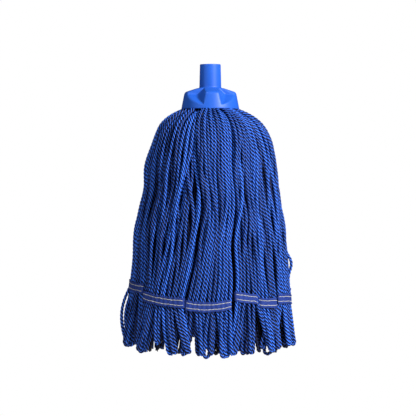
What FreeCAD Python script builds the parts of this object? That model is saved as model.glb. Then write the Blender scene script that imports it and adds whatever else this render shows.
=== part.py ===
import FreeCAD, Part
import math
import os
import re

import Sketcher
from FreeCAD import Placement, Rotation, Vector

# A string mop head. A moulded socket takes the handle. A conical retainer, screwed up into it, traps the
# crown of the yarn. Ten stitched fans of looped yarn hang from the rim round a core of shorter yarn.
#
# Frame: the handle's axis is Z, up. The origin is the centre of the socket's mouth, so all is below it.
# The front is -Y. Turns round the axis are counted in degrees from the front, positive towards +X.
# Depths under the skirt's top are counted downwards.

DIMENSIONS = {
    # socket: neck, cap, and the boss inside it
    "neck_mouth_radius": 14.5,
    "neck_base_radius": 15.3,
    "neck_length": 33.0,
    "bore_radius": 12.5,
    "bore_depth": 44.0,
    "web_thickness": 3.0,
    "bore_tube_radius": 15.5,
    "cap_top_radius": 18.0,
    "cap_shoulder_radius": 36.0,
    "cap_shoulder_drop": 5.8,
    "cap_rim_radius": 40.4,
    "cap_height": 29.0,
    "cap_wall": 2.4,
    "boss_radius": 6.0,
    "boss_length": 8.0,
    "pilot_radius": 1.9,
    "pilot_depth": 9.0,
    # grip scoops, two each side of a rib on the cap's front and back
    "socket_turn": 4.5,
    "rib_half_width": 8.6,
    "scoop_back": 14.6,
    "scoop_back_drop": 9.2,
    "scoop_slope": 32.5,
    "scoop_corner_half_width": 19.6,
    # retainer, washer and screw
    "retainer_inner_radius": 16.6,
    "retainer_outer_radius": 30.0,
    "retainer_top_level": -57.4,
    "retainer_drop": 8.4,
    "retainer_wall": 2.4,
    "retainer_hub_radius": 9.0,
    "retainer_screw_radius": 2.7,
    "washer_radius": 7.0,
    "washer_thickness": 1.0,
    "screw_head_radius": 4.6,
    "screw_head_height": 3.0,
    "screw_core_radius": 1.85,
    "screw_length": 12.0,
    "screw_slot_width": 1.0,
    "screw_slot_depth": 1.6,
    # crown of the yarn and the tape that binds it, inside the cap
    "crown_inner_radius": 17.0,
    "crown_outer_radius": 36.4,
    "crown_inner_level": -51.4,
    "crown_slope_drop": 10.0,
    "crown_thickness": 4.6,
    "crown_tape_thickness": 1.0,
    "crown_tape_length": 4.0,
    # skirt: an oval bell that swells below the rim and then flares slowly
    "skirt_top_gap": 1.0,
    "skirt_top_radius": 42.0,
    "skirt_length": 331.0,
    "side_shortening": 12.0,
    "shoulder_width_growth": 42.0,
    "shoulder_depth_growth": 26.0,
    "shoulder_reach": 22.0,
    "width_flare": 0.12,
    "depth_flare": 0.08,
    "fan_top_thickness": 2.5,
    "fan_thickness_rate": 0.8,
    "fan_full_thickness": 17.0,
    "loop_end_taper": 10.0,
    "fan_gap": 1.4,
    # core of yarn inside the fans
    "core_top_depth": 11.0,
    "core_clearance": 4.0,
    "core_shortening": 20.0,
    # tail tapes and their stitching
    "tape_gap": 0.4,
    "tape_width": 13.5,
    "tape_thickness": 1.0,
    "tape_end_inset": 2.0,
    "stitch_row_spacing": 6.4,
    "stitch_gap": 0.05,
    "stitch_width": 1.0,
    "stitch_height": 0.5,
    "stitch_end_inset": 3.0,
}

# The ten fans, front first and then round by the right side: name, and its tape's depth in mm.
FANS = {
    "front": 266,
    "front_right": 260,
    "right_front": 262,
    "right_back": 256,
    "back_right": 263,
    "back": 267,
    "back_left": 258,
    "left_back": 252,
    "left_front": 245,
    "front_left": 257,
}

doc = FreeCAD.newDocument("string_mop")
sheet = doc.addObject("Spreadsheet::Sheet", "Dimensions")
for row, (alias, number) in enumerate(DIMENSIONS.items(), start=1):
    sheet.set(f"A{row}", alias)
    sheet.set(f"B{row}", str(number))
    sheet.setAlias(f"B{row}", alias)
doc.recompute()

nodes = []


def dim(alias):
    """The number in one cell of the sheet."""
    return float(sheet.get(alias))


def worked_out(entry):
    """An entry of an outline as a number. An entry is a number, or an expression on the sheet's aliases."""
    return float(entry) if isinstance(entry, (int, float)) else float(sheet.evalExpression(entry))


def bound(entry):
    """An expression on the sheet's aliases, written so that another object can use it."""
    return re.sub(r"[a-z]+(_[a-z]+)+", r"<<Dimensions>>.\g<0>", entry)


def add_node(feature, label):
    """Label a finished sub-part and list it for export."""
    feature.Label = label
    nodes.append(feature)
    return feature


def revolved_body(label, outline):
    """A body turned once round Z. The outline lists its corners as pairs of radius and level."""
    body = doc.addObject("PartDesign::Body", label)
    roles = {f.Role: f for f in body.Origin.OriginFeatures}
    sketch = body.newObject("Sketcher::SketchObject", f"{label}_outline")
    sketch.AttachmentSupport = [(roles["XZ_Plane"], "")]
    sketch.MapMode = "FlatFace"
    corners = [Vector(worked_out(radius), worked_out(level), 0) for radius, level in outline]
    count = len(corners)
    for i in range(count):
        sketch.addGeometry(Part.LineSegment(corners[i], corners[(i + 1) % count]), False)
    for i in range(count):
        sketch.addConstraint(Sketcher.Constraint("Coincident", i, 2, (i + 1) % count, 1))
    for i, entries in enumerate(outline):
        for kind, entry, number in zip(("DistanceX", "DistanceY"), entries, corners[i]):
            index = sketch.addConstraint(Sketcher.Constraint(kind, -1, 1, i, 1, number))
            if isinstance(entry, str):
                sketch.setExpression(f"Constraints[{index}]", bound(entry))
    turned = body.newObject("PartDesign::Revolution", f"{label}_turned")
    turned.Profile = sketch
    turned.ReferenceAxis = (roles["Z_Axis"], [""])
    turned.Angle = 360.0
    sketch.Visibility = False
    doc.recompute()
    return body


def plain_feature(label, shape, turn=0.0):
    """A Part::Feature that holds a shape made here, turned round Z."""
    feature = doc.addObject("Part::Feature", label)
    feature.Shape = shape
    feature.Placement = Placement(Vector(0, 0, 0), Rotation(Vector(0, 0, 1), turn))
    return feature


def fused(label, parts):
    feature = doc.addObject("Part::MultiFuse", label)
    feature.Shapes = parts
    return feature


def cut(label, base, tool):
    feature = doc.addObject("Part::Cut", label)
    feature.Base = base
    feature.Tool = tool
    return feature


# ---------------------------------------------------------------- socket

CAP_TOP = -dim("neck_length")
RIM_LEVEL = CAP_TOP - dim("cap_height")
SCOOP_REACH = 48.0
SCOOP_HEADROOM = 0.01


def scoop_tool(side, grown):
    """What one scoop takes out of the cap, right of the rib for a side of 1 and left for -1. It is ruled
    from a section at the scoop's back to one out past the cap. Grown by a wall, it shapes the cavity."""
    back = dim("scoop_back") - grown
    rib = dim("rib_half_width") - grown
    run = SCOOP_REACH - back
    back_floor = CAP_TOP - dim("scoop_back_drop") - grown
    front_floor = back_floor - run * math.tan(math.radians(dim("scoop_slope")))
    corner = dim("scoop_corner_half_width") - grown
    top = CAP_TOP + SCOOP_HEADROOM

    def section(y, foot, floor):
        points = [(rib, top), (foot, floor), (SCOOP_REACH, floor), (SCOOP_REACH, top)]
        corners = [Vector(side * x, -y, level) for x, level in points]
        return Part.makePolygon(corners + corners[:1])

    return Part.makeLoft([section(back, corner, back_floor), section(SCOOP_REACH, rib, front_floor)],
                         True, True)


def make_socket():
    outer = revolved_body("socket_outside", [
        (0, 0),
        ("neck_mouth_radius", 0),
        ("neck_base_radius", "-neck_length"),
        ("cap_top_radius", "-neck_length"),
        ("cap_shoulder_radius", "-neck_length - cap_shoulder_drop"),
        ("cap_rim_radius", "-neck_length - cap_height"),
        (0, "-neck_length - cap_height"),
    ])
    cavity = revolved_body("socket_cavity", [
        ("bore_tube_radius", "-neck_length - cap_wall"),
        ("cap_shoulder_radius - cap_wall", "-neck_length - cap_shoulder_drop - cap_wall"),
        ("cap_rim_radius - cap_wall", "-neck_length - cap_height"),
        ("cap_rim_radius - cap_wall", "-neck_length - cap_height - 1"),
        (0, "-neck_length - cap_height - 1"),
        (0, "-bore_depth - web_thickness - boss_length"),
        ("boss_radius", "-bore_depth - web_thickness - boss_length"),
        ("boss_radius", "-bore_depth - web_thickness"),
        ("bore_tube_radius", "-bore_depth - web_thickness"),
    ])
    bore = doc.addObject("Part::Cylinder", "handle_bore")
    bore.setExpression("Radius", bound("bore_radius"))
    bore.setExpression("Height", bound("bore_depth + 1"))
    bore.setExpression("Placement.Base.z", bound("-bore_depth"))
    pilot = doc.addObject("Part::Cylinder", "screw_pilot")
    pilot.setExpression("Radius", bound("pilot_radius"))
    pilot.setExpression("Height", bound("pilot_depth"))
    pilot.setExpression("Placement.Base.z", bound("-bore_depth - web_thickness - boss_length"))

    scoops = []
    walls = []
    for face in (0, 180):
        for side in (1, -1):
            name = f"{face}_{'right' if side == 1 else 'left'}"
            turn = face + dim("socket_turn")
            scoops.append(plain_feature(f"scoop_{name}", scoop_tool(side, 0.0), turn))
            walls.append(plain_feature(f"scoop_wall_{name}", scoop_tool(side, dim("cap_wall")), turn))
    hollow = cut("cavity_round_scoops", cavity, fused("scoop_walls", walls))
    tools = fused("socket_tools", scoops + [bore, pilot, hollow])
    return add_node(cut("socket", outer, tools), "socket")


# ---------------------------------------------------------------- retainer, screw and yarn crown

def make_retainer():
    hub_level = "retainer_top_level - retainer_drop - retainer_wall"
    return add_node(revolved_body("yarn_retainer", [
        ("retainer_screw_radius", "retainer_top_level + 1"),
        ("retainer_hub_radius", "retainer_top_level + 1"),
        ("retainer_inner_radius", "retainer_top_level"),
        ("retainer_outer_radius", "retainer_top_level - retainer_drop"),
        ("retainer_outer_radius", hub_level),
        ("retainer_inner_radius", "retainer_top_level - retainer_wall - 0.8"),
        ("retainer_hub_radius", "retainer_top_level - retainer_wall - 0.8"),
        ("retainer_hub_radius", hub_level),
        ("retainer_screw_radius", hub_level),
    ]), "yarn_retainer")


HUB_BOTTOM = dim("retainer_top_level") - dim("retainer_drop") - dim("retainer_wall")


def make_washer():
    hub_bottom = "retainer_top_level - retainer_drop - retainer_wall"
    return add_node(revolved_body("screw_washer", [
        ("screw_core_radius + 0.3", hub_bottom),
        ("washer_radius", hub_bottom),
        ("washer_radius", f"{hub_bottom} - washer_thickness"),
        ("screw_core_radius + 0.3", f"{hub_bottom} - washer_thickness"),
    ]), "screw_washer")


def make_screw():
    seat = "retainer_top_level - retainer_drop - retainer_wall - washer_thickness"
    blank = revolved_body("screw_blank", [
        (0, f"{seat} + screw_length + 3"),
        ("screw_core_radius", f"{seat} + screw_length"),
        ("screw_core_radius", seat),
        ("screw_head_radius", seat),
        ("screw_head_radius - 1", f"{seat} - screw_head_height"),
        (0, f"{seat} - screw_head_height"),
    ])
    bars = []
    for name, turn in (("along", 0), ("across", 90)):
        bar = doc.addObject("Part::Box", f"screw_cross_{name}")
        bar.setExpression("Length", bound("screw_head_radius"))
        bar.setExpression("Width", bound("screw_slot_width"))
        bar.setExpression("Height", bound("screw_slot_depth + 1"))
        half_length = dim("screw_head_radius") / 2
        half_width = dim("screw_slot_width") / 2
        low = HUB_BOTTOM - dim("washer_thickness") - dim("screw_head_height") - 1
        corner = Vector(-half_length, -half_width, low)
        spin = Rotation(Vector(0, 0, 1), turn)
        bar.Placement = Placement(spin.multVec(corner), spin)
        bars.append(bar)
    return add_node(cut("retainer_screw", blank, fused("screw_cross", bars)), "retainer_screw")


def make_crown():
    outer_top = "crown_inner_level - crown_slope_drop"
    add_node(revolved_body("yarn_crown", [
        ("crown_inner_radius", "crown_inner_level"),
        ("crown_outer_radius", outer_top),
        ("crown_outer_radius", f"{outer_top} - crown_thickness"),
        ("retainer_outer_radius", "retainer_top_level - retainer_drop + 0.6"),
        ("crown_inner_radius", "crown_inner_level - crown_thickness"),
    ]), "yarn_crown")
    tape_outer = "crown_inner_radius - 0.3"
    tape_inner = f"{tape_outer} - crown_tape_thickness"
    level = "crown_inner_level - 0.4"
    add_node(revolved_body("crown_tape", [
        (tape_inner, level),
        (tape_outer, level),
        (tape_outer, f"{level} - crown_tape_length"),
        (tape_inner, f"{level} - crown_tape_length"),
    ]), "crown_tape")


# ---------------------------------------------------------------- skirt

SKIRT_TOP = RIM_LEVEL - dim("skirt_top_gap")
FAN_TURN = 360.0 / len(FANS)
EDGE_POINTS = 7


def swell(depth):
    """How much of the shoulder's growth is reached at a depth, from 0 to 1."""
    return 1 - math.exp(-depth / dim("shoulder_reach"))


def half_width(depth):
    return dim("skirt_top_radius") + dim("shoulder_width_growth") * swell(depth) + dim("width_flare") * depth


def half_depth(depth):
    return dim("skirt_top_radius") + dim("shoulder_depth_growth") * swell(depth) + dim("depth_flare") * depth


def fan_thickness(depth):
    return min(dim("fan_top_thickness") + dim("fan_thickness_rate") * depth, dim("fan_full_thickness"))


def skirt_point(turn, depth, offset):
    """A point of the skirt's outer face, moved outwards level by an offset."""
    angle = math.radians(turn)
    x = (half_width(depth) + offset) * math.sin(angle)
    y = -(half_depth(depth) + offset) * math.cos(angle)
    return Vector(x, y, SKIRT_TOP - depth)


def turn_for(length, turn, depth):
    """The turn, in degrees, that a length along the skirt's face takes at a place on it."""
    angle = math.radians(turn)
    pace = math.hypot(half_width(depth) * math.cos(angle), half_depth(depth) * math.sin(angle))
    return math.degrees(length / pace)


def curved_edge(first, last, depth, offset):
    turns = [first + (last - first) * i / (EDGE_POINTS - 1) for i in range(EDGE_POINTS)]
    curve = Part.BSplineCurve()
    curve.interpolate([skirt_point(turn, depth, offset) for turn in turns])
    return curve.toShape()


def skirt_patch(middle, sections, end_inset, ruled):
    """A solid that follows the skirt over one fan's turn, lofted through level sections. Each section is a
    depth and the offsets of its outer and inner faces. The inset is what each end keeps off the next fan."""
    wires = []
    for depth, outer, inner in sections:
        first = middle - FAN_TURN / 2
        last = middle + FAN_TURN / 2
        first += turn_for(end_inset, first, depth)
        last -= turn_for(end_inset, last, depth)
        outside = curved_edge(first, last, depth, outer)
        inside = curved_edge(first, last, depth, inner)
        sides = [Part.makeLine(skirt_point(turn, depth, outer), skirt_point(turn, depth, inner))
                 for turn in (first, last)]
        wires.append(Part.Wire(Part.__sortEdges__([outside, sides[1], inside, sides[0]])))
    return Part.makeLoft(wires, True, ruled)


def fan_length(middle):
    """The skirt hangs lower in front and at the back than at its sides."""
    return dim("skirt_length") - dim("side_shortening") * abs(math.sin(math.radians(middle)))


def make_fan(name, middle, tape_depth):
    gap = dim("fan_gap") / 2
    length = fan_length(middle)
    depths = [0, 5, 12, 22, 40, 80, 160, length - dim("loop_end_taper"), length]
    sections = [(depth, 0.0, -fan_thickness(depth)) for depth in depths]
    taper = dim("loop_end_taper") / 2
    sections[-1] = (length, -taper, taper - fan_thickness(length))
    add_node(plain_feature(f"yarn_fan_{name}", skirt_patch(middle, sections, gap, True)), f"yarn_fan_{name}")

    thickness = fan_thickness(tape_depth)
    near = dim("tape_gap")
    far = near + dim("tape_thickness")
    half = dim("tape_width") / 2
    ends = gap + dim("tape_end_inset")
    for face, low, high in (("outer", near, far), ("inner", -thickness - far, -thickness - near)):
        span = [(depth, high, low) for depth in (tape_depth - half, tape_depth + half)]
        label = f"{face}_tape_{name}"
        add_node(plain_feature(label, skirt_patch(middle, span, ends, True)), label)

    rows = []
    seat = far + dim("stitch_gap")
    proud = seat + dim("stitch_height")
    for face, low, high in (("outer", seat, proud), ("inner", -thickness - proud, -thickness - seat)):
        for step in (-0.5, 0.5):
            centre = tape_depth + step * dim("stitch_row_spacing")
            edges = (centre - dim("stitch_width") / 2, centre + dim("stitch_width") / 2)
            span = [(depth, high, low) for depth in edges]
            rows.append(skirt_patch(middle, span, gap + dim("stitch_end_inset"), True))
    add_node(plain_feature(f"stitching_{name}", Part.makeCompound(rows)), f"stitching_{name}")


def make_core():
    """The shorter yarn inside the fans: a plain oval column that keeps clear of them."""
    wires = []
    bottom = dim("skirt_length") - dim("side_shortening") - dim("core_shortening")
    for depth in (dim("core_top_depth"), 22, 40, 80, 160, bottom):
        inset = fan_thickness(depth) + dim("core_clearance")
        level = Vector(0, 0, SKIRT_TOP - depth)
        oval = Part.Ellipse(level, half_width(depth) - inset, half_depth(depth) - inset)
        wires.append(Part.Wire(oval.toShape()))
    add_node(plain_feature("yarn_core", Part.makeLoft(wires, True, True)), "yarn_core")


make_socket()
make_retainer()
make_washer()
make_screw()
make_crown()
make_core()
for place, (fan, depth) in enumerate(FANS.items()):
    make_fan(fan, place * FAN_TURN, depth)

doc.recompute()
for item in doc.Objects:
    if "Invalid" in item.State or "Error" in item.State:
        raise RuntimeError(f"{item.Label} failed: {item.State}")
os.makedirs("parts", exist_ok=True)
for item in nodes:
    if item.Shape.isNull() or not item.Shape.isValid():
        raise RuntimeError(f"{item.Label} has no valid shape")
    item.Shape.exportStep(f"parts/{item.Label}.step")
    print(item.Label, "solids", len(item.Shape.Solids), "volume", round(item.Shape.Volume))
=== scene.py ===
import math

import bpy
import numpy as np
from bpy.props import FloatProperty, FloatVectorProperty, IntProperty, PointerProperty
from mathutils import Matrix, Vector


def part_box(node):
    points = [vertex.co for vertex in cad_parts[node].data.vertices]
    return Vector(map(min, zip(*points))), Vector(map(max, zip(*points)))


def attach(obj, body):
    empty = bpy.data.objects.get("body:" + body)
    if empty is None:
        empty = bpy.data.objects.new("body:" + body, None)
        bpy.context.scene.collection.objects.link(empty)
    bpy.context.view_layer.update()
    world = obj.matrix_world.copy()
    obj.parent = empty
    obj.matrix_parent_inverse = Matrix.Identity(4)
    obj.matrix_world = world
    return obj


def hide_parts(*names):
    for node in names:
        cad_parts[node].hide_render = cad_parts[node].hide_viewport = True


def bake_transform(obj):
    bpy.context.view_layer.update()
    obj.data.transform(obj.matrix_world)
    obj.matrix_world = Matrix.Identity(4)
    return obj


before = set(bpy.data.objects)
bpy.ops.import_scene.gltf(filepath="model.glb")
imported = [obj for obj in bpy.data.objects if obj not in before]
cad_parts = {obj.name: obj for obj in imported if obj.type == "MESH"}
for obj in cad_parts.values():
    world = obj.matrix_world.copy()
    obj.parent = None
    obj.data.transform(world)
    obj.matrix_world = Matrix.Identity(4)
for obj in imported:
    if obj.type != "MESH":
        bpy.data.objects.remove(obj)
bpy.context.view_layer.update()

bl_info = {
    "name": "String mop head",
    "version": (1, 0, 0),
    "blender": (4, 5, 0),
    "location": "View3D > Sidebar > String Mop",
    "description": "Yarn, tapes, stitching and moulded plastic round the frame of a string mop head",
    "category": "Object",
}

# Lengths are in metres and angles in radians, unless a comment says otherwise.
TURN = 2 * math.pi

# The fans in order round the handle from the front towards +X, each FAN_TURN wide.
FANS = ["front", "front_right", "right_front", "right_back", "back_right",
        "back", "back_left", "left_back", "left_front", "front_left"]
FAN_TURN = math.radians(360 / len(FANS))
SKIRT_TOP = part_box("yarn_fan_front")[1].z
SKIRT_LENGTH = SKIRT_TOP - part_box("yarn_fan_front")[0].z

# The skirt's outer face: an oval bell that swells below the rim and then flares slowly.
BELL_TOP = 0.042
BELL_WIDTH_GROWTH = 0.042
BELL_DEPTH_GROWTH = 0.026
BELL_REACH = 0.017
BELL_WIDTH_FLARE = 0.12
BELL_DEPTH_FLARE = 0.08

# Where the yarn stands off the even bell on the left and right: how deep, over what reach, how far out.
LEFT_WAVES = [(0.045, 0.025, -0.0045), (0.108, 0.022, -0.0035), (0.170, 0.028, 0.0035)]
RIGHT_WAVES = [(0.175, 0.035, 0.0025), (0.290, 0.040, -0.0040)]

# How much shorter the yarn is at the two sides than at the front and back.
SIDE_SHORTER = 0.0062

# How far each tape runs under its own level at its left end, middle and right end, and the height of a step
# at its middle.
TAPE_RUN = {
    "front": (-0.0037, -0.0010, -0.0050, 0.0),
    "front_right": (-0.0067, -0.0013, 0.0009, 0.0024),
    "right_front": (-0.0032, -0.0006, 0.0038, 0.0),
    "right_back": (0.0020, -0.0010, -0.0040, 0.0),
    "back_right": (-0.0040, 0.0010, 0.0030, 0.0),
    "back": (0.0020, 0.0, -0.0040, -0.0010),
    "back_left": (-0.0020, 0.0010, 0.0040, 0.0),
    "left_back": (0.0030, 0.0, -0.0030, 0.0),
    "left_front": (-0.0017, -0.0006, -0.0002, 0.0),
    "front_left": (-0.0034, 0.0012, 0.0029, 0.0),
}

# The lines between neighbouring fans; edge i lies after fan i. How far each is turned at the rim, in degrees.
# Then how far it bows to the right half way down and is moved to the right at the tapes, and the gap that it
# leaves between these.
EDGE_TURN = [7, 2, 4, -3, 2, -5, 3, -2, -3, -1]
EDGE_BOW = [0.005, -0.002, 0.002, -0.002, 0.003, 0.006, 0.0, 0.002, -0.003, 0.017]
EDGE_SHIFT = {0: -0.0052, 9: 0.0012}
TAPE_GAP = [0.0048, 0.0030, 0.0030, 0.0020, 0.0045, 0.0015, 0.0035, 0.0025, 0.0006, 0.0004]

# How far the outer yarn stands back from each edge, to its left and to its right, and how deep under the
# skirt's top the opening is widest.
EDGE_PARTING = [(0.001, 0.003, 0.05), (0.002, 0.001, 0.09), (0.001, 0.001, 0.04), (0.003, 0.002, 0.07),
                (0.001, 0.0, 0.05), (0.006, 0.003, 0.09), (0.002, 0.001, 0.06), (0.001, 0.002, 0.05),
                (0.002, 0.002, 0.08), (0.029, 0.001, 0.125)]

# The edge whose opening does not close again: the yarn from underneath comes up in it and fills it.
FILLED_EDGE = 9

# Over what depth an edge's turn at the rim fades.
EDGE_TURN_FADE = 0.03

# Where across a fan a loop stands away from the others, from -1 at its left to 1.
STRAY_LOOP = {"left_front": -0.8, "back_right": 0.2}

# A leg that bows out of its fan: where across the fan, how deep, and how far out.
LOOSE_LEG = {"right_front": (0.95, 0.214, 0.0055)}

# A fan whose yarn and tape fold in at the middle, with the depth of the fold.
MIDDLE_FOLD = {"front_right": 0.0045, "back_left": 0.003}

# How far from a fan's middle its fold and the step in its tape reach, as a share of half its width.
MIDDLE_REACH = 0.07

# The flat width of every tape.
TAPE_WIDTH = 0.0132


# ---- settings

class MopYarnSettings(bpy.types.PropertyGroup):
    """Sizes and colours of the yarn"""
    diameter: FloatProperty(
        name="Diameter", description="Thickness of one strand of yarn", default=0.0043, unit="LENGTH")
    lay: FloatProperty(
        name="Lay", description="Length of yarn in which the plies turn once", default=0.0160, unit="LENGTH")
    pitch: FloatProperty(
        name="Pitch", description="Room that one strand takes across a tape", default=0.0057, unit="LENGTH")
    seed: IntProperty(name="Seed", description="Number that the random draws start from", default=11)
    colour: FloatVectorProperty(
        name="Colour", description="Colour of the yarn in full light", subtype="COLOR",
        default=(0.0014, 0.0070, 0.080))
    # The crest colour is a painted highlight on the ply crests, lighter than the yarn's own colour.
    crest_highlight_colour: FloatVectorProperty(
        name="Crest colour", description="Colour of the plies where they stand highest", subtype="COLOR",
        default=(0.040, 0.190, 0.90))
    # The groove colour is painted shade between the plies, far darker than the yarn's own colour.
    groove_shade_colour: FloatVectorProperty(
        name="Groove colour", description="Colour between the plies", subtype="COLOR",
        default=(0.0002, 0.0005, 0.007))


class MopTapeSettings(bpy.types.PropertyGroup):
    """Sizes and colours of the tapes and their stitching"""
    thickness: FloatProperty(
        name="Thickness", description="Thickness of the woven tape", default=0.0006, unit="LENGTH")
    row_spacing: FloatProperty(
        name="Row spacing", description="Distance between the two rows of stitching", default=0.0064,
        unit="LENGTH")
    stitch_length: FloatProperty(
        name="Stitch length", description="Length of one stitch from hole to hole", default=0.0046,
        unit="LENGTH")
    colour: FloatVectorProperty(
        name="Colour", description="Colour of the tape", subtype="COLOR", default=(0.009, 0.031, 0.20))
    thread_colour: FloatVectorProperty(
        name="Thread colour", description="Colour of the sewing thread", subtype="COLOR",
        default=(0.52, 0.52, 0.50))


class MopSocketSettings(bpy.types.PropertyGroup):
    """Colours of the mouldings"""
    colour: FloatVectorProperty(
        name="Colour", description="Colour of the moulded socket", subtype="COLOR",
        default=(0.012, 0.090, 0.48))


class MopStageSettings(bpy.types.PropertyGroup):
    """Where the camera stands and how wide it sees"""
    distance: FloatProperty(
        name="Distance", description="From the camera to the mop's axis", default=1.757, unit="LENGTH")
    view_width: FloatProperty(
        name="View width", description="Width that the camera sees at the mop's axis", default=0.5824,
        unit="LENGTH")


# ---- shader helpers

def math_method(operation):
    """A method that adds a Math node to a value and returns its result."""
    return lambda value, *others: value.shader.maths(operation, value, *others)


class Maths:
    """A socket's value in an expression."""
    __add__ = __radd__ = math_method("ADD")
    __sub__ = math_method("SUBTRACT")
    __mul__ = math_method("MULTIPLY")
    __truediv__ = math_method("DIVIDE")
    power = math_method("POWER")
    fraction = math_method("FRACT")
    absolute = math_method("ABSOLUTE")
    sine = math_method("SINE")

    def __init__(self, shader, socket):
        self.shader = shader
        self.socket = socket

    def __rsub__(self, other):
        return self.shader.maths("SUBTRACT", other, self)


class Shader:
    """A new material with a Principled BSDF, and short ways to add nodes to it."""

    def __init__(self, name, **constants):
        self.material = bpy.data.materials.new(name)
        self.material.use_nodes = True
        self.tree = self.material.node_tree
        self.surface = next(n for n in self.tree.nodes if n.type == "BSDF_PRINCIPLED")
        for socket, value in constants.items():
            self.surface.inputs[socket.replace("_", " ")].default_value = value

    def node(self, kind, settings=None, **sockets):
        """A node of a type, with its settings made first, and then its sockets' values or links. A socket is
        named, or has i and its number."""
        node = self.tree.nodes.new("ShaderNode" + kind)
        for name, value in (settings or {}).items():
            if name == "stops":
                self._set_stops(node.color_ramp, value)
            else:
                setattr(node, name, value)
        for name, value in sockets.items():
            index = int(name[1:]) if name[0] == "i" and name[1:].isdigit() else name.replace("_", " ")
            self.feed(node.inputs[index], value)
        return node

    def _set_stops(self, ramp, stops):
        while len(ramp.elements) < len(stops):
            ramp.elements.new(1.0)
        for element, (position, colour) in zip(ramp.elements, stops):
            element.position = position
            element.color = (*tuple(colour)[:3], 1.0)

    def feed(self, socket, value):
        if isinstance(value, Maths):
            value = value.socket
        if isinstance(value, bpy.types.NodeSocket):
            self.tree.links.new(value, socket)
        elif socket.type == "RGBA":
            socket.default_value = (*tuple(value)[:3], 1.0)
        else:
            socket.default_value = value

    def maths(self, operation, *values):
        sockets = {f"i{index}": value for index, value in enumerate(values)}
        return self.value(self.node("Math", {"operation": operation}, **sockets))

    def value(self, node, output=0):
        return Maths(self, node.outputs[output])

    def mix(self, factor, first, second):
        return self.node("Mix", {"data_type": "RGBA"}, i0=factor, i6=first, i7=second).outputs[2]

    def noise(self, vector, scale, detail=2.0, roughness=0.5):
        return self.value(self.node("TexNoise", Vector=vector, Scale=scale, Detail=detail,
                                    Roughness=roughness))

    def bump(self, height, strength, distance):
        return self.node("Bump", Height=height, Strength=strength, Distance=distance).outputs["Normal"]

    def object_point(self):
        return self.node("TexCoord").outputs["Object"]

    def set(self, socket, value):
        self.feed(self.surface.inputs[socket], value)


# ---- mesh helpers

def add_object(name, data):
    """A new object in the scene."""
    piece = bpy.data.objects.new(name, data)
    bpy.context.scene.collection.objects.link(piece)
    return piece


def apply_modifier(piece, kind, **settings):
    """Give the active piece a modifier with these settings and apply it."""
    modifier = piece.modifiers.new(kind.lower(), kind)
    for name, value in settings.items():
        setattr(modifier, name, value)
    bpy.ops.object.modifier_apply(modifier=modifier.name)


def object_from_arrays(name, points, quads, caps, material, uv, tone):
    """A mesh object from arrays. The UV has a pair for each corner of the quads, the tone a number for each
    point."""
    mesh = bpy.data.meshes.new(name)
    faces = quads.tolist() + [cap.tolist() for cap in caps]
    mesh.from_pydata(points.tolist(), [], faces, shade_flat=False)
    layer = mesh.uv_layers.new(name="Strand")
    corners = np.zeros((len(mesh.loops), 2), np.float32)
    corners[:len(uv)] = uv
    layer.data.foreach_set("uv", corners.ravel())
    attribute = mesh.attributes.new("tone", "FLOAT", "POINT")
    attribute.data.foreach_set("value", tone.astype(np.float32))
    mesh.validate()
    mesh.materials.append(material)
    return add_object(name, mesh)


# ---- the bell of the skirt

def bell(depth):
    """Half width and half depth of the skirt at a depth under its top, and how fast each grows."""
    fade = np.exp(-depth / BELL_REACH)
    wide = BELL_TOP + BELL_WIDTH_GROWTH * (1 - fade) + BELL_WIDTH_FLARE * depth
    deep = BELL_TOP + BELL_DEPTH_GROWTH * (1 - fade) + BELL_DEPTH_FLARE * depth
    wide_rate = BELL_WIDTH_GROWTH / BELL_REACH * fade + BELL_WIDTH_FLARE
    deep_rate = BELL_DEPTH_GROWTH / BELL_REACH * fade + BELL_DEPTH_FLARE
    return wide, deep, wide_rate, deep_rate


def pace(turn, depth):
    """Metres along the skirt for one radian of turn."""
    wide, deep, _, _ = bell(depth)
    return np.hypot(wide * np.cos(turn), deep * np.sin(turn))


def place(turn, depth, off):
    """Points of the skirt, moved off its face."""
    wide, deep, wide_rate, deep_rate = bell(depth)
    sine, cosine = np.sin(turn), np.cos(turn)
    nx, ny = sine / wide, -cosine / deep
    size = np.hypot(nx, ny)
    nx, ny = nx / size, ny / size
    growth = wide_rate * sine * nx - deep_rate * cosine * ny
    lean = np.sqrt(1 + growth ** 2)
    return np.stack([wide * sine + off * nx / lean,
                     -deep * cosine + off * ny / lean,
                     SKIRT_TOP - depth + off * growth / lean + 0 * turn], axis=-1)


def unevenness(turn, depth):
    """How far the yarn stands off the even bell at the two sides."""
    total = 0.0
    for side, waves in ((-1, LEFT_WAVES), (1, RIGHT_WAVES)):
        facing = np.clip(side * np.sin(turn), 0, 1) ** 3
        for level, reach, height in waves:
            total = total + facing * height * np.exp(-((depth - level) / reach) ** 2)
    return total


def smooth_step(value):
    value = np.clip(value, 0, 1)
    return value * value * (3 - 2 * value)


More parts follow.
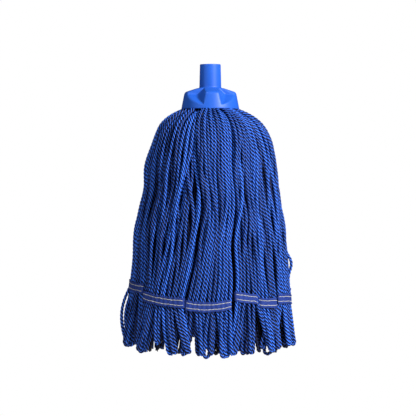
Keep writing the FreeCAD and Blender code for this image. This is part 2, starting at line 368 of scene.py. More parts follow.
class Edge:
    """The line between two neighbouring fans, from the rim down."""

    def __init__(self, index):
        draw = np.random.default_rng(900 + index)
        self.turn = (index + 0.5) * FAN_TURN
        self.top_turn = math.radians(EDGE_TURN[index])
        self.bow = EDGE_BOW[index]
        self.parting_left, self.parting_right, self.parting_depth = EDGE_PARTING[index]
        self.tape_gap = TAPE_GAP[index]
        self.shift = EDGE_SHIFT.get(index, 0.0)
        self.filled = index == FILLED_EDGE
        self.length = draw.uniform(0.11, 0.17)
        self.phase = draw.uniform(0, TURN)
        self.sway = draw.uniform(0.001, 0.0025)

    def at(self, depth, tape_depth):
        """The edge's turn at each depth."""
        along = np.clip(depth / tape_depth, 0, 1)
        wave = self.bow + self.sway * np.sin(TURN * depth / self.length + self.phase)
        line = self.turn + self.top_turn * np.exp(-np.clip(depth, 0, None) / EDGE_TURN_FADE)
        aside = wave * np.sin(math.pi * along) + self.shift * smooth_step(along)
        return line + aside / pace(self.turn, np.clip(depth, 0, None))

    def opening(self, depth):
        """How open the outer yarn is beside the edge, from 0 to 1."""
        below = depth / self.parting_depth
        closed = 0.0 if self.filled else smooth_step((below - 1) / 0.9)
        return np.where(below < 1, smooth_step((below - 0.3) / 0.7), 1 - closed)


EDGES = [Edge(i) for i in range(len(FANS))]


def tape_depth_of(fan):
    low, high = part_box(f"outer_tape_{fan}")
    return SKIRT_TOP - (low.z + high.z) / 2


def tape_drop(fan, across):
    """How far the tape lies under its level at a place across the fan, from -1 at its left to 1."""
    left, middle, right, step = TAPE_RUN[fan]
    bend = (left + right) / 2 - middle
    return middle + (right - left) / 2 * across + bend * across ** 2 + step * np.tanh(across / MIDDLE_REACH)


def middle_fold(fan, across):
    """How far the fan folds in at a place across it."""
    return MIDDLE_FOLD.get(fan, 0.0) * np.exp(-(across / MIDDLE_REACH) ** 2)


# ---- laying the yarn

# Slices of a leg down to its tape and in its tail, layers of legs, and how the legs are pushed apart.
SLICES = 84
TAIL_SLICES = 24
LAYERS = 3
LAYER_SPACING = 0.0054
RELAX_ROUNDS = 80
STIFFNESS = 60.0
PIN_HOLD = 1e5

# Random spreads of a leg: of its place, as a share of half a fan, of its end, and of how its loop hangs.
TAPE_SPREAD = 0.022
RIM_SPREAD = 0.17
END_SPREAD = 0.0018
LEAN_SPREAD = 0.010
BULGE_SPREAD = 0.0016
TWIST_SPREAD = 0.6

# Waves of a clump of legs, and of each leg along the fan and off it. Then how far the loops lean, in a wave
# along the fan and outward at its sides.
CLUMP_SWAY = 0.0018
LEG_SWAY = 0.0026
LEG_LIFT = 0.0021
LEAN_WAVE = 0.013
LEAN_OUT = 0.005

# At the rim a leg starts above the skirt's top, in one of several ranks, and is squeezed to a share of its
# thickness. Ranks and squeeze fade with depth.
START_ABOVE = 0.003
RANK_SPACING = 0.0043
RANK_FADE = 0.026
RIM_SQUEEZE = 0.76
SQUEEZE_FADE = 0.05


def bending_filter(count, pinned):
    """A matrix that smooths moves along a leg as its stiffness does, and holds the pinned slices."""
    bend = np.zeros((count - 2, count))
    for row in range(count - 2):
        bend[row, row:row + 3] = (1, -2, 1)
    hold = np.zeros(count)
    hold[pinned] = PIN_HOLD
    return np.linalg.inv(np.eye(count) + STIFFNESS * bend.T @ bend + np.diag(hold))


class FanYarn:
    """The legs of yarn of one fan: where each runs from the rim to the tape, and on to its loop."""

    def __init__(self, index, settings):
        self.index = index
        self.fan = FANS[index]
        self.settings = settings
        self.radius = settings.diameter / 2
        self.draw = np.random.default_rng(settings.seed * 100 + index)
        self.middle = index * FAN_TURN
        self.left = EDGES[index - 1]
        self.right = EDGES[index]
        self.tape = tape_depth_of(self.fan)
        self.length = SKIRT_LENGTH - 0.0003 - SIDE_SHORTER * math.sin(self.middle) ** 4
        self.lay_out()
        self.relax()

    def room(self, depth):
        """The turns between which the middles of the legs lie, and the metres for one radian there."""
        steps = pace(self.middle, np.clip(depth, 0, None))
        near_tape = smooth_step(depth / self.tape)
        left = self.left.at(depth, self.tape)
        right = self.right.at(depth, self.tape)
        left = np.where(left > right, left - TURN, left)
        left = left + (self.radius + self.left.tape_gap / 2 * near_tape) / steps
        right = right - (self.radius + self.right.tape_gap / 2 * near_tape) / steps
        return left, right, steps

    def lay_out(self):
        """Where each leg lies from the rim to its loop, before the legs push each other apart."""
        draw, radius = self.draw, self.radius
        left, right, steps = self.room(np.array([self.tape]))
        width = float((right - left)[0] * steps[0])
        split = 1 - 2 * self.right.parting_left / width if self.right.filled else 1.0
        columns = []
        for layer in range(LAYERS):
            last = split if layer == 0 else 1.0
            count = int(width * (last + 1) / 2 / self.settings.pitch) + 1 - (layer % 2) + int(last < 1)
            spots = np.linspace(0, 1, count) if layer % 2 == 0 else (np.arange(count) + 0.5) / count
            spots = np.clip(spots * (last + 1) - 1 + draw.normal(0, TAPE_SPREAD, count), -1, last)
            columns += [(spot, layer) for spot in spots]
        self.across, self.layer = (np.array(values) for values in zip(*columns))
        count = len(columns)
        across = self.across[:, None]

        self.pair_up()
        self.stray = self.stray_leg()
        self.ends = self.length - np.abs(draw.normal(0, END_SPREAD, count)) - 0.0004 * self.layer
        high = draw.random(count) < 0.07
        self.ends[high] -= draw.uniform(0.004, 0.016, high.sum())
        self.ends[self.second] = self.ends[self.first]
        if self.stray is not None:
            self.ends[[self.stray, dict(self.pairs)[self.stray]]] -= 0.005
        along = np.linspace(0, 1, SLICES)
        upper = (self.tape + START_ABOVE) * along ** 1.2 - START_ABOVE
        drop = tape_drop(self.fan, self.across)
        top_part = upper[None, :] + drop[:, None] * smooth_step(along)[None, :]
        start = self.tape + drop
        tail = np.linspace(0, 1, TAIL_SLICES + 1)[1:]
        tail_part = start[:, None] + (self.ends - radius * 1.6 - start)[:, None] * tail[None, :]
        self.depth = np.concatenate([top_part, tail_part], axis=1)
        self.tight = radius * (RIM_SQUEEZE + (1 - RIM_SQUEEZE) * smooth_step(self.depth / SQUEEZE_FADE))

        left, right, steps = self.room(self.depth)
        to_tape = smooth_step(self.depth / self.tape)
        at_rim = self.across + draw.normal(0, RIM_SPREAD, count)
        for layer in range(LAYERS):
            legs = np.flatnonzero(self.layer == layer)
            at_rim[legs[np.argsort(at_rim[legs])]] = np.linspace(-1, 1, len(legs))
        spot = at_rim[:, None] + (across - at_rim[:, None]) * to_tape
        under = np.where(self.layer[:, None] > 0, 0.4, 0.0)
        left = left + under * self.right.parting_left * self.right.opening(self.depth) / steps
        right = right - under * self.left.parting_right * self.left.opening(self.depth) / steps
        turn = left + (right - left) * (spot + 1) / 2
        spread = np.sin(math.pi * np.clip(self.depth / self.tape, 0, 1))
        clump = across * draw.uniform(1.2, 2.2) + self.depth / draw.uniform(0.12, 0.2) + draw.uniform(0, 1)
        shift = CLUMP_SWAY * np.sin(TURN * clump) * spread
        own = draw.uniform(0, TURN, (count, 2))
        length = draw.uniform(0.1, 0.22, (count, 1))
        shift += LEG_SWAY * np.sin(TURN * self.depth / length + own[:, :1]) * spread
        turn = turn + shift / steps

        order = np.argsort(np.argsort(at_rim))
        rank = self.layer * 2 + (order // LAYERS + (draw.random(count) < 0.12)) % 2
        crown = -self.tight - RANK_SPACING * rank[:, None]
        hanging = -radius - LAYER_SPACING * self.layer[:, None]
        blend = np.exp(-np.clip(self.depth, 0, None) / RANK_FADE)
        off = hanging * (1 - blend) + crown * blend
        off += LEG_LIFT * np.sin(TURN * self.depth / (length * 0.8) + own[:, 1:]) * spread
        if self.right.filled:
            coming = smooth_step((self.depth - 0.045) / 0.09) * smooth_step((spot - split + 0.12) / 0.3)
            off += np.where(self.layer[:, None] > 0, LAYER_SPACING, 0.0) * coming
        self.stand = unevenness(turn, self.depth)
        off += self.stand - middle_fold(self.fan, across) * (0.4 + 0.6 * to_tape)

        share = np.clip((self.depth - start[:, None]) / (self.ends - start)[:, None], 0, 1)
        self.swing_tails(turn, off, steps, share)
        self.turn, self.off, self.steps = turn, off, steps

    def pair_up(self):
        """Join the legs two and two into loops: neighbours of one layer, or one behind the other."""
        free = [set(np.flatnonzero(self.layer == layer)) for layer in range(LAYERS)]
        pairs = []
        for layer in range(LAYERS):
            while free[layer]:
                leg = min(free[layer], key=lambda i: self.across[i])
                free[layer].discard(leg)
                behind = layer + 1 < LAYERS and free[layer + 1] and self.draw.random() < 0.35
                others = free[layer + 1] if behind else free[layer]
                if not others:
                    others = set().union(*free)
                if not others:
                    break
                mate = min(others, key=lambda i: abs(self.across[i] - self.across[leg]))
                for group in free:
                    group.discard(mate)
                pairs.append((leg, mate))
        self.pairs = pairs
        self.first, self.second = (np.array(legs) for legs in zip(*pairs))

    def stray_leg(self):
        """The leg whose loop stands away from the others, if the fan has one."""
        if self.fan not in STRAY_LOOP:
            return None
        outer = [leg for leg, _ in self.pairs if self.layer[leg] == 0]
        return min(outer, key=lambda leg: abs(self.across[leg] - STRAY_LOOP[self.fan]))

    def swing_tails(self, turn, off, steps, share):
        """Below the tape each loop leans, turns on itself and stands off, so that the ends are uneven."""
        draw = self.draw
        tail = slice(SLICES, None)
        swing = draw.uniform(0.45, 0.8)
        phase = draw.uniform(0, 1)
        stand = 0.0016 if self.index % 2 else -0.0012
        for leg, mate in self.pairs:
            wave = math.sin(TURN * (self.across[leg] * swing + phase))
            side = self.across[leg]
            lean = LEAN_WAVE * wave + draw.normal(0, LEAN_SPREAD) + LEAN_OUT * side
            if abs(side) > 0.7:
                lean = side * max(lean / side, LEAN_OUT)
            twist = draw.normal(0, TWIST_SPREAD)
            bulge = draw.normal(stand, BULGE_SPREAD)
            if leg == self.stray:
                bulge, lean, twist = 0.0090, 0.002, 0.0
            apart = draw.uniform(1.05, 1.5) * self.radius * 2
            s = share[leg, tail]
            last = SLICES - 1
            across = (turn[mate, last] - turn[leg, last]) * steps[leg, last]
            through = off[mate, last] - off[leg, last]
            ease = smooth_step(s * 1.3)
            angle = math.atan2(through, across) + twist * ease
            size = math.hypot(across, through)
            size = size + (apart - size) * ease
            centre = (turn[leg, last] + turn[mate, last]) / 2 + lean * s ** 1.2 / steps[leg, tail]
            level = (off[leg, last] + off[mate, last]) / 2 + bulge * np.sin(math.pi * s)
            for which, sign in ((leg, -0.5), (mate, 0.5)):
                turn[which, tail] = centre + sign * size * np.cos(angle) / steps[leg, tail]
                off[which, tail] = level + sign * size * np.sin(angle)

    def relax(self):
        """Push overlapping legs apart slice by slice, keep them in the fan, and bend each one smoothly."""
        draw, depth, steps = self.draw, self.depth, self.steps
        count = len(depth)
        left, right, _ = self.room(depth)
        opening = np.where(self.layer[:, None] == 0, 1.0, 0.03)
        tail_room = 0.012 * smooth_step((depth - self.tape) / 0.03)
        left = left + (self.left.parting_right * self.left.opening(depth) * opening - tail_room) / steps
        right = right - (self.right.parting_left * self.right.opening(depth) * opening - tail_room) / steps
        raised = draw.random((count, 1)) < 0.6
        height = np.where(raised, draw.uniform(0.0005, 0.0042, (count, 1)), 0.0)
        height = height * (self.layer[:, None] == 0)
        place_of = draw.uniform(0.03, self.tape - 0.03, (count, 1))
        reach = draw.uniform(0.02, 0.05, (count, 1))
        outer = self.stand - self.tight * 0.97 + height * np.exp(-((depth - place_of) / reach) ** 2)
        outer = outer + 0.0028 * smooth_step((depth - self.tape - 0.012) / 0.02)
        if self.fan in LOOSE_LEG:
            spot, level, height = LOOSE_LEG[self.fan]
            leg = np.flatnonzero(self.layer == 0)[np.abs(self.across[self.layer == 0] - spot).argmin()]
            bow = height * np.exp(-((depth[leg] - level) / 0.014) ** 2)
            outer[leg] += bow
            self.off[leg] += bow * 1.6
        if self.stray is not None:
            outer[self.stray, SLICES:] = outer[dict(self.pairs)[self.stray], SLICES:] = 0.02
        pinned = [0, 1, SLICES - 2, SLICES - 1, SLICES]
        bend = bending_filter(SLICES + TAIL_SLICES, pinned).T
        need = (self.tight[:, None, :] + self.tight[None, :, :]) * 0.96
        apart = ~np.eye(count, dtype=bool)[:, :, None]
        moved_turn, moved_off = np.zeros(depth.shape), np.zeros(depth.shape)
        for _ in range(RELAX_ROUNDS):
            turn = self.turn + moved_turn
            off = self.off + moved_off
            across = (turn[:, None, :] - turn[None, :, :]) * steps[None, :, :]
            through = off[:, None, :] - off[None, :, :]
            far = np.sqrt(across ** 2 + through ** 2) + 1e-9
            lap = np.clip(need - far, 0, None) * apart / far * 0.33
            turn = turn + (lap * across).sum(1) / steps
            off = off + (lap * through).sum(1)
            turn = np.clip(turn, left, right)
            off = np.minimum(off, outer)
            moved_turn = ((turn - self.turn) * steps) @ bend / steps
            moved_off = (off - self.off) @ bend
        self.turn = np.clip(self.turn + moved_turn, left, right)
        self.off = np.minimum(self.off + moved_off, outer)

    def loops(self):
        """Each loop of yarn as a line of points: down one leg, round the end and up the other."""
        points = place(self.turn, self.depth, self.off)
        lines = []
        for leg, mate in self.pairs:
            down, up = points[leg], points[mate][::-1]
            a, b = down[-1], up[0]
            heading = (down[-1] - down[-3]) - (up[2] - up[0])
            heading = heading / np.linalg.norm(heading)
            reach = np.linalg.norm(b - a) / 2
            angles = np.radians([30, 60, 90, 120, 150])
            end = [(a + b) / 2 + (a - b) / 2 * math.cos(t) + heading * reach * 1.25 * math.sin(t)
                   for t in angles]
            lines.append((np.concatenate([down, end, up]), int(min(self.layer[leg], self.layer[mate]))))
        return lines


# ---- spinning the strands

# For each layer: points round the strand, the distance between its rings, and its darkest tone, set lower for
# deeper layers as painted shade.
STRAND_DETAIL = [(12, 0.0014, 0.4), (12, 0.0017, -0.15), (6, 0.0020, -0.7)]
TONE_RANGE = 0.6
PLIES = 3

# The size of a strand in its grooves, at its crests and where it has no lobes, as a share of its radius. It
# waves by a share, and swells by one in the tails.
GROOVE_SIZE = 0.46
CREST_SIZE = 1.04
ROUND_SIZE = 0.94
THICKNESS_WAVE = 0.03
TAIL_SWELL = 0.16
TAIL_SWELL_DEPTH = 0.275


def resampled(line, count):
    """The line as evenly spaced points, smoothed a little."""
    lengths = np.concatenate([[0], np.cumsum(np.linalg.norm(np.diff(line, axis=0), axis=1))])
    at = np.linspace(0, lengths[-1], count)
    points = np.stack([np.interp(at, lengths, line[:, k]) for k in range(3)], axis=1)
    for _ in range(4):
        points[1:-1] += 0.5 * ((points[:-2] + points[2:]) / 2 - points[1:-1])
    return points, lengths[-1]


def spin_strands(lines, around, spacing, radius, lay, draw, lowest_tone_with_shade):
    """Strands of twisted plies along the lines. They have lobes if each ply has the same number of points,
    and else they are round and only the UV is twisted. Returns points, quads, end faces, UV and tone."""
    longest = max(np.linalg.norm(np.diff(line, axis=0), axis=1).sum() for line in lines)
    rings = int(longest / spacing) + 1
    centre, lengths = (np.array(values) for values in zip(*(resampled(line, rings) for line in lines)))
    ahead = np.gradient(centre, axis=1)
    ahead /= np.linalg.norm(ahead, axis=2, keepdims=True)
    side = np.empty_like(centre)
    level = np.cross(ahead[:, 0], [0.3, 0.2, 1.0])
    side[:, 0] = level / np.linalg.norm(level, axis=1, keepdims=True)
    for ring in range(1, rings):
        carried = side[:, ring - 1]
        carried = carried - (carried * ahead[:, ring]).sum(1, keepdims=True) * ahead[:, ring]
        side[:, ring] = carried / np.linalg.norm(carried, axis=1, keepdims=True)
    other = np.cross(ahead, side)

    slot = np.arange(around)
    lobed = around % PLIES == 0
    swell = np.sqrt(np.sin(math.pi * (slot * PLIES / around % 1)))
    size = GROOVE_SIZE + (CREST_SIZE - GROOVE_SIZE) * swell if lobed else np.full(around, ROUND_SIZE)
    travelled = np.linspace(0, 1, rings)[None, :] * lengths[:, None]
    phase = draw.uniform(0, TURN, len(lines))[:, None]
    wobble = 1 + THICKNESS_WAVE * np.sin(travelled / 0.021 + phase * 3)
    wobble *= 1 + TAIL_SWELL * smooth_step((SKIRT_TOP - TAIL_SWELL_DEPTH - centre[:, :, 2]) / 0.03)
    turns = travelled / lay
    angle = phase[:, :, None] + TURN * slot / around
    if lobed:
        angle = angle - TURN * turns[:, :, None]
    reach = radius * wobble[:, :, None] * size
    points = (centre[:, :, None, :] + side[:, :, None, :] * (np.cos(angle) * reach)[..., None]
              + other[:, :, None, :] * (np.sin(angle) * reach)[..., None])

    strand, ring, spot = np.meshgrid(np.arange(len(lines)), np.arange(rings - 1), slot, indexing="ij")
    start = (strand * rings + ring) * around
    following = (spot + 1) % around
    quads = np.stack([start + spot, start + following,
                      start + around + following, start + around + spot], axis=-1)
    twist = np.zeros_like(turns) if lobed else turns
    along = turns + phase / TURN * 7
    corners = []
    for right, up in ((0, 0), (1, 0), (1, 1), (0, 1)):
        here = (strand, ring + up)
        corners.append(np.stack([(spot + right) / around + twist[here], along[here]], axis=-1))
    uv = np.stack(corners, axis=-2)
    caps = []
    for first in np.arange(len(lines)) * rings * around:
        caps += [first + slot[::-1], first + (rings - 1) * around + slot]
    # Each strand's tone is drawn at random above its group's darkest tone, and the groups with lower tones
    # get painted shade.
    tones = np.repeat(draw.uniform(lowest_tone_with_shade, lowest_tone_with_shade + TONE_RANGE, len(lines)), rings * around)
    return points.reshape(-1, 3), quads.reshape(-1, 4), caps, uv.reshape(-1, 2), tones


def strand_piece(name, groups, radius, lay, material, seed):
    """One object of groups of strands, each with its lines, points round them, ring spacing and darkest tone,
    which is lower for deeper yarn to paint shade on it."""
    draw = np.random.default_rng(seed)
    parts, all_caps = [], []
    base = 0
    for lines, around, spacing, lowest_tone_with_shade in groups:
        points, quads, caps, uv, tone = spin_strands(lines, around, spacing, radius, lay, draw, lowest_tone_with_shade)
        parts.append((points, quads + base, uv, tone))
        all_caps += [cap + base for cap in caps]
        base += len(points)
    points, quads, uv, tone = (np.concatenate(arrays) for arrays in zip(*parts))
    return object_from_arrays(name, points, quads, all_caps, material, uv, tone)


# ---- materials

def yarn_material(settings):
    shader = Shader("twisted_yarn", Specular_IOR_Level=0.2)
    strand = shader.node("UVMap", {"uv_map": "Strand"}).outputs[0]
    parts = shader.node("SeparateXYZ", Vector=strand)
    # The ply mask is 0 in the grooves and 1 on the crests, and the ramp below uses it to paint shade in the
    # grooves and a highlight on the crests.
    round_ply = (shader.value(parts, 0) * PLIES).fraction()
    ply_light_mask = 1 - ((round_ply - 0.5) * 2).absolute().power(1.15)
    stretch = shader.node("Mapping", Vector=strand, Scale=(PLIES * 7.0, 4.0, 1.0))
    fibre = shader.noise(stretch.outputs[0], 1.0, 3.0, 0.6)
    # The tone adds random differences between strands, and painted shade on the deeper layers of yarn.
    tone = shader.value(shader.node("Attribute", {"attribute_name": "tone"}), 2)
    light = ply_light_mask * 0.9 + (fibre - 0.5) * 0.5 + (tone - 0.6) * 0.36
    ramp = shader.node("ValToRGB", {"stops": [
        (0.28, settings.groove_shade_colour), (0.60, settings.colour), (0.93, settings.crest_highlight_colour)]}, Fac=light)
    shader.set("Base Color", ramp.outputs[0])
    shader.set("Roughness", 0.5 + fibre * 0.2)
    shader.set("Normal", shader.bump(fibre, 0.5, 0.0005))
    return shader.material


def tape_material(settings):
    shader = Shader("woven_tape", Roughness=0.75, Specular_IOR_Level=0.25)
    point = shader.object_point()
    parts = shader.node("SeparateXYZ", Vector=point)
    rows = (shader.value(parts, 2) * 2 * math.pi / 0.0011).sine()
    slub = shader.noise(point, 700.0, 2.0)
    drift = shader.noise(point, 60.0, 2.0)
    light = drift * 0.5 + slub * 0.3 + rows * 0.1 + 0.1
    dark = tuple(c * 0.4 for c in settings.colour)
    pale = tuple(c * 1.35 for c in settings.colour)
    shader.set("Base Color", shader.mix(light, dark, pale))
    shader.set("Roughness", 0.65 + slub * 0.2)
    shader.set("Normal", shader.bump(rows * 0.5 + slub, 0.5, 0.0003))
    return shader.material


def thread_material(settings):
    shader = Shader("sewing_thread", Roughness=0.5, Specular_IOR_Level=0.4)
    strand = shader.node("UVMap", {"uv_map": "Strand"}).outputs[0]
    parts = shader.node("SeparateXYZ", Vector=strand)
    # The stripes along the thread's twist darken it between its plies, as painted shade in the grooves; the
    # noise gives random differences.
    turns = ((shader.value(parts, 0) * 3 + shader.value(parts, 1) * 6) * 2 * math.pi).sine()
    light = turns * 0.25 + shader.noise(shader.object_point(), 400.0) * 0.6 + 0.2
    dark = tuple(c * 0.55 for c in settings.thread_colour)
    shader.set("Base Color", shader.mix(light, dark, settings.thread_colour))
    return shader.material


def steel_material():
    shader = Shader("plated_steel", Metallic=1.0, Base_Color=(0.62, 0.64, 0.67, 1.0))
    point = shader.object_point()
    shader.set("Roughness", 0.22 + shader.noise(point, 350.0, 3.0) * 0.25)
    shader.set("Normal", shader.bump(shader.noise(point, 1200.0), 0.1, 0.0002))
    return shader.material


def plastic_material(name, colour):
    shader = Shader(name, Specular_IOR_Level=0.25)
    point = shader.object_point()
    drift = shader.noise(point, 45.0, 2.0)
    grain = shader.noise(point, 900.0, 2.0)
    deep = tuple(c * 0.82 for c in colour)
    shader.set("Base Color", shader.mix(drift, deep, tuple(colour)))
    shader.set("Roughness", 0.40 + drift * 0.16)
    shader.set("Normal", shader.bump(grain, 0.12, 0.0004))
    return shader.material


# ---- operators

class MOP_OT_yarn(bpy.types.Operator):
    """Lay and spin the looped yarn of every fan"""
    bl_idname = "mop.yarn"
    bl_label = "Lay the yarn"

    def execute(self, context):
        settings = context.scene.mop_yarn
        material = yarn_material(settings)
        for index, fan in enumerate(FANS):
            yarn = FanYarn(index, settings)
            lines = yarn.loops()
            # Beside the filled opening the second layer comes to the surface, so it takes the outer layer's
            # tone instead of the darker, shaded one.
            detail = [STRAND_DETAIL[0]] * 2 + [STRAND_DETAIL[2]] if yarn.right.filled else STRAND_DETAIL
            groups = [([line for line, layer in lines if layer == wanted], *detail[wanted])
                      for wanted in range(LAYERS)]
            piece = strand_piece(f"looped_yarn_{fan}", groups, yarn.radius, settings.lay, material,
                                 settings.seed * 10 + index)
            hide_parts(f"yarn_fan_{fan}")
            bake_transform(piece)
        return {"FINISHED"}


# The rings of inner yarn, from the outside in: the legs in each and how far it stands in at the bottom.
INNER_RINGS = ((86, 0.0), (44, 0.022), (20, 0.046))
INNER_SPACING = 0.004
CROWN_LEGS = 64


class MOP_OT_inner_yarn(bpy.types.Operator):
    """Fill the crown and the inside of the skirt with yarn"""
    bl_idname = "mop.inner_yarn"
    bl_label = "Fill with inner yarn"

    def execute(self, context):
        settings = context.scene.mop_yarn
        radius = settings.diameter / 2
        material = bpy.data.materials["twisted_yarn"]
        draw = np.random.default_rng(settings.seed)
        lines = []
        for ring, (count, inset) in enumerate(INNER_RINGS):
            for i in range(count):
                turn = (i + draw.uniform(0.3, 0.7)) / count * TURN
                length = SKIRT_LENGTH - SIDE_SHORTER * math.sin(turn) ** 4 - INNER_SPACING * ring
                depth = np.linspace(0.010, length - radius - abs(draw.normal(0.002, 0.003)), 40)
                grown = np.minimum(0.0025 + 0.8 * depth, 0.017) + INNER_SPACING
                off = unevenness(turn, depth) - grown - radius
                off = off - inset * smooth_step((depth - 0.02) / 0.1) - INNER_SPACING * ring
                sway = 0.003 * np.sin(depth / draw.uniform(0.02, 0.05) + draw.uniform(0, 6))
                lines.append(place(turn + sway / 0.08, depth, off))
        # The inner yarn's darkest tone is lower than the outer yarn's, as painted shade inside the skirt.
        piece = strand_piece("inner_yarn", [(lines, 7, 0.0042, -0.1)], radius, settings.lay, material,
                             settings.seed + 5)
        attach(piece, "socket")
        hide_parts("yarn_core")

        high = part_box("yarn_crown")[1]
        outer = high.x - radius
        lines = []
        for i in range(CROWN_LEGS):
            turn = i / CROWN_LEGS * TURN
            arch = np.linspace(0, math.pi, 9)
            inner = 0.0172 + radius
            reach = (inner + outer) / 2 + (outer - inner) / 2 * -np.cos(arch)
            level = high.z - radius - 0.0075 * (1 - np.sin(arch))
            lines.append(np.stack([reach * math.sin(turn), -reach * math.cos(turn), level], axis=1))
        # The crown yarn gets the same lower tone, as painted shade inside the crown.
        piece = strand_piece("crown_yarn", [(lines, 7, 0.002, -0.1)], radius * 0.7, settings.lay, material,
                             settings.seed + 6)
        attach(piece, "socket")
        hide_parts("yarn_crown")
        return {"FINISHED"}


# How far a tape stands off the strands, the ripple that they give it and its pitch, how its edges lift, how
# its seams and ends are drawn in, and how deep the inner tape lies.
TAPE_STAND = 0.0006
TAPE_RIPPLE = 0.00028
RIPPLE_PITCH = 0.0057
EDGE_LIFT = 0.0004
SEAM_DIP = 0.00035
END_TUCK = 0.0022
INNER_TAPE_DEPTH = 0.0163


class TapeRun:
    """Where a fan's tape runs: points on its middle surface for places along and across it."""

    def __init__(self, index, outer):
        self.fan = FANS[index]
        self.outer = outer
        self.tape = tape_depth_of(self.fan)
        left, right = EDGES[index - 1], EDGES[index]
        level = np.array([self.tape])
        a, b = left.at(level, self.tape)[0], right.at(level, self.tape)[0]
        if a > b:
            a -= TURN
        step = pace(index * FAN_TURN, level)[0]
        self.left = a + left.tape_gap / 2 / step
        self.right = b - right.tape_gap / 2 / step
        self.length = (self.right - self.left) * step
        self.width = TAPE_WIDTH
        self.draw = np.random.default_rng(300 + index * 2 + outer)
        self.phase = self.draw.uniform(0, 6, 4)
        self.columns = int((self.length - 2 * 0.00275) / RIPPLE_PITCH)

    def point(self, along, across, lift=0.0):
        """Places run along from -1 at the left to 1, and across from -1 at the lower side to 1."""
        turn = self.left + (self.right - self.left) * (along + 1) / 2
        half = self.width / 2 * (1 + 0.05 * np.sin(along * 9 + self.phase[0]))
        depth = self.tape + tape_drop(self.fan, along) - across * half
        out = unevenness(turn, depth)
        edge = np.abs(across) ** 4
        ripple = TAPE_RIPPLE * np.cos(math.pi * self.columns * (along + 1))
        ripple = ripple + EDGE_LIFT * edge * np.sin(along * 23 + self.phase[1] + across)
        seam = np.exp(-((np.abs(across) - 0.48) / 0.16) ** 2)
        end = smooth_step((np.abs(along) - 0.93) / 0.07)
        fold = middle_fold(self.fan, along)
        stand = TAPE_STAND + ripple - SEAM_DIP * seam + EDGE_LIFT * edge
        if self.outer:
            off = out + stand - fold - END_TUCK * end + lift
        else:
            off = out - INNER_TAPE_DEPTH - stand - fold * 0.5 - lift
        return place(turn, depth, off)


class MOP_OT_tapes(bpy.types.Operator):
    """Sew a tape over and under each fan"""
    bl_idname = "mop.tapes"
    bl_label = "Lay the tapes"

    def execute(self, context):
        settings = context.scene.mop_tape
        material = tape_material(settings)
        for index, fan in enumerate(FANS):
            for outer in (True, False):
                run = TapeRun(index, outer)
                side = "outer" if outer else "inner"
                bpy.ops.object.select_all(action="DESELECT")
                bpy.ops.mesh.primitive_grid_add(x_subdivisions=90, y_subdivisions=10, size=2)
                piece = context.object
                piece.name = f"woven_{side}_tape_{fan}"
                flat = np.zeros(len(piece.data.vertices) * 3)
                piece.data.vertices.foreach_get("co", flat)
                flat = flat.reshape(-1, 3)
                piece.data.vertices.foreach_set("co", run.point(flat[:, 0], flat[:, 1]).ravel())
                if not outer:
                    piece.data.flip_normals()
                apply_modifier(piece, "SOLIDIFY", thickness=settings.thickness, offset=0.0)
                bpy.ops.object.shade_smooth()
                piece.data.materials.append(material)
                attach(piece, f"fan_{fan}")
                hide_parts(f"{side}_tape_{fan}")
        return {"FINISHED"}


# The share of a tape's length that is stitched, the points of a stitch, and the radius of the thread.
STITCHED_SHARE = 0.965
STITCH_POINTS = 7
THREAD_RADIUS = 0.00043


class MOP_OT_stitching(bpy.types.Operator):
    """Two rows of stitches through each pair of tapes"""
    bl_idname = "mop.stitching"
    bl_label = "Stitch the tapes"

    def execute(self, context):
        settings = context.scene.mop_tape
        material = thread_material(settings)
        for index, fan in enumerate(FANS):
            lines = []
            for outer in (True, False):
                run = TapeRun(index, outer)
                count = int(run.length * STITCHED_SHARE / settings.stitch_length)
                for row in (-1, 1):
                    level = row * settings.row_spacing / run.width
                    slip = run.draw.uniform(-0.3, 0.3)
                    for i in range(count):
                        at = (i + 0.5 + slip) / count * 2 * STITCHED_SHARE - STITCHED_SHARE
                        half = settings.stitch_length / run.length * run.draw.uniform(0.97, 1.03)
                        share = np.linspace(-1, 1, STITCH_POINTS)
                        along = np.clip(at + np.linspace(-half, half, STITCH_POINTS), -0.995, 0.995)
                        across = level + share * run.draw.normal(0, 0.03)
                        lift = 0.0007 - 0.0006 * np.abs(share) ** 6
                        lines.append(run.point(along, across, lift))
            piece = strand_piece(f"stitches_{fan}", [(lines, 5, settings.stitch_length / 6, 0.0)],
                                 THREAD_RADIUS, 1.0, material, 70 + index)
            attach(piece, f"fan_{fan}")
            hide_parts(f"stitching_{fan}")
        return {"FINISHED"}


# The socket's skin is rebuilt from cubes and smoothed, fully at its shoulder and by a share elsewhere.
SKIN_SIZE = 0.00062
SMOOTH_ROUNDS = 150
FAR_SHARE = 0.12


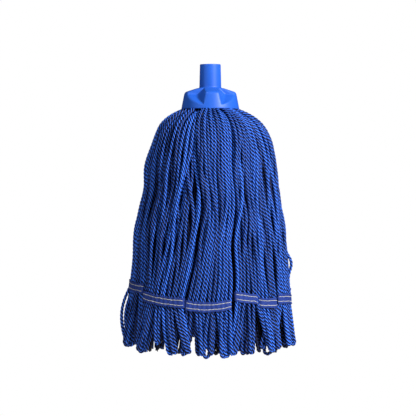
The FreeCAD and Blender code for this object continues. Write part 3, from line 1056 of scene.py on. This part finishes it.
class MOP_OT_socket(bpy.types.Operator):
    """Round the moulded socket's edges and give it its plastic"""
    bl_idname = "mop.socket"
    bl_label = "Finish the socket"

    def execute(self, context):
        bpy.ops.object.select_all(action="DESELECT")
        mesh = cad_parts["socket"].data.copy()
        piece = add_object("moulded_socket", mesh)
        context.view_layer.objects.active = piece
        piece.select_set(True)
        bpy.ops.object.mode_set(mode="EDIT")
        bpy.ops.mesh.select_all(action="SELECT")
        bpy.ops.mesh.remove_doubles(threshold=1e-6)
        bpy.ops.object.mode_set(mode="OBJECT")
        apply_modifier(piece, "REMESH", mode="VOXEL", voxel_size=SKIN_SIZE)
        shoulder = piece.vertex_groups.new(name="shoulder")
        for vertex in mesh.vertices:
            x, y, z = vertex.co
            near = smooth_step((math.hypot(x, y) - 0.026) / 0.006) * smooth_step((z + 0.054) / 0.008)
            shoulder.add([vertex.index], float(FAR_SHARE + (1 - FAR_SHARE) * near), "REPLACE")
        apply_modifier(piece, "SMOOTH", factor=0.5, iterations=SMOOTH_ROUNDS, vertex_group=shoulder.name)
        piece.vertex_groups.clear()
        bpy.ops.object.shade_smooth()
        mesh.materials.clear()
        mesh.materials.append(plastic_material("socket_plastic", context.scene.mop_socket.colour))
        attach(piece, "socket")
        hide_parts("socket")
        return {"FINISHED"}


class MOP_OT_fittings(bpy.types.Operator):
    """Give the retainer, the screw and the crown tape their materials"""
    bl_idname = "mop.fittings"
    bl_label = "Finish the fittings"

    def execute(self, context):
        retainer = plastic_material("retainer_plastic", (0.03, 0.09, 0.42))
        steel = steel_material()
        tape = bpy.data.materials["woven_tape"]
        for node, material in (("yarn_retainer", retainer), ("screw_washer", steel),
                               ("retainer_screw", steel), ("crown_tape", tape)):
            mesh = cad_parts[node].data
            mesh.materials.clear()
            mesh.materials.append(material)
        return {"FINISHED"}


# Each light's name, place, size, and power in watts.
LIGHTS = (("key", (1.1, -1.0, 0.65), 0.3, 57),
          ("fill", (-1.2, -1.0, 0.3), 0.8, 3.5),
          ("top", (-0.45, -0.7, 1.05), 0.6, 7.0))

CAMERA_AIM = Vector((-0.0032, 0, -0.2002))
CAMERA_HEIGHT = -0.0986
SENSOR_WIDTH = 36


class MOP_OT_stage(bpy.types.Operator):
    """Set up the floor, lights and camera"""
    bl_idname = "mop.stage"
    bl_label = "Set the stage"

    def execute(self, context):
        settings = context.scene.mop_stage
        bpy.ops.object.select_all(action="DESELECT")
        bpy.ops.mesh.primitive_plane_add(size=12, location=(0, 0, -0.62))
        floor = context.object
        floor.name = "floor"
        pale = Shader("pale_floor", Base_Color=(0.85, 0.85, 0.85, 1.0), Roughness=0.9)
        glow = pale.node("Emission", Color=(1.0, 1.0, 1.0), Strength=1.0)
        seen = pale.node("LightPath").outputs["Is Camera Ray"]
        blend = pale.node("MixShader", i0=seen, i1=pale.surface.outputs[0], i2=glow.outputs[0])
        output = next(n for n in pale.tree.nodes if n.type == "OUTPUT_MATERIAL")
        pale.feed(output.inputs["Surface"], blend.outputs[0])
        floor.data.materials.append(pale.material)

        world = bpy.data.worlds.new("soft_white")
        world.use_nodes = True
        tree = world.node_tree
        background = tree.nodes["Background"]
        background.inputs[0].default_value = (1.0, 1.0, 1.0, 1.0)
        path = tree.nodes.new("ShaderNodeLightPath")
        strength = tree.nodes.new("ShaderNodeMapRange")
        strength.inputs["To Min"].default_value = 0.09
        strength.inputs["To Max"].default_value = 1.0
        tree.links.new(path.outputs["Is Camera Ray"], strength.inputs["Value"])
        tree.links.new(strength.outputs[0], background.inputs[1])
        context.scene.world = world

        for name, spot, size, power in LIGHTS:
            light = bpy.data.lights.new(name, "AREA")
            light.size = size
            light.energy = power
            lamp = add_object(name, light)
            lamp.location = spot
            lamp.rotation_euler = (Vector((0, 0, -0.2)) - Vector(spot)).to_track_quat("-Z", "Y").to_euler()

        camera = bpy.data.cameras.new("camera")
        camera.sensor_width = SENSOR_WIDTH
        spot = Vector((CAMERA_AIM.x, -settings.distance, CAMERA_HEIGHT))
        camera.lens = SENSOR_WIDTH * (CAMERA_AIM - spot).length / settings.view_width
        holder = add_object("camera", camera)
        holder.location = spot
        holder.rotation_euler = (CAMERA_AIM - spot).to_track_quat("-Z", "Y").to_euler()
        context.scene.camera = holder
        context.scene.view_settings.view_transform = "Standard"
        return {"FINISHED"}


class MOP_PT_panel(bpy.types.Panel):
    """The mop head's settings and steps"""
    bl_label = "String Mop"
    bl_idname = "MOP_PT_panel"
    bl_space_type = "VIEW_3D"
    bl_region_type = "UI"
    bl_category = "String Mop"

    def draw(self, context):
        scene = context.scene
        for name in GROUPS:
            group = getattr(scene, name)
            box = self.layout.box()
            for key in group.bl_rna.properties.keys():
                if key not in ("rna_type", "name"):
                    box.prop(group, key)
        for step in STEPS:
            self.layout.operator(step)


GROUPS = {"mop_yarn": MopYarnSettings, "mop_tape": MopTapeSettings, "mop_socket": MopSocketSettings,
          "mop_stage": MopStageSettings}
STEPS = ["mop.stage", "mop.socket", "mop.yarn", "mop.inner_yarn", "mop.tapes", "mop.stitching",
         "mop.fittings"]
CLASSES = [*GROUPS.values(), MOP_OT_stage, MOP_OT_socket, MOP_OT_yarn, MOP_OT_inner_yarn, MOP_OT_tapes,
           MOP_OT_stitching, MOP_OT_fittings, MOP_PT_panel]


def register():
    for cls in CLASSES:
        bpy.utils.register_class(cls)
    for name, group in GROUPS.items():
        setattr(bpy.types.Scene, name, PointerProperty(type=group))


def unregister():
    for name in GROUPS:
        delattr(bpy.types.Scene, name)
    for cls in reversed(CLASSES):
        bpy.utils.unregister_class(cls)


def main():
    register()
    for step in STEPS:
        group, name = step.split(".")
        getattr(getattr(bpy.ops, group), name)()


if __name__ == "__main__":
    main()
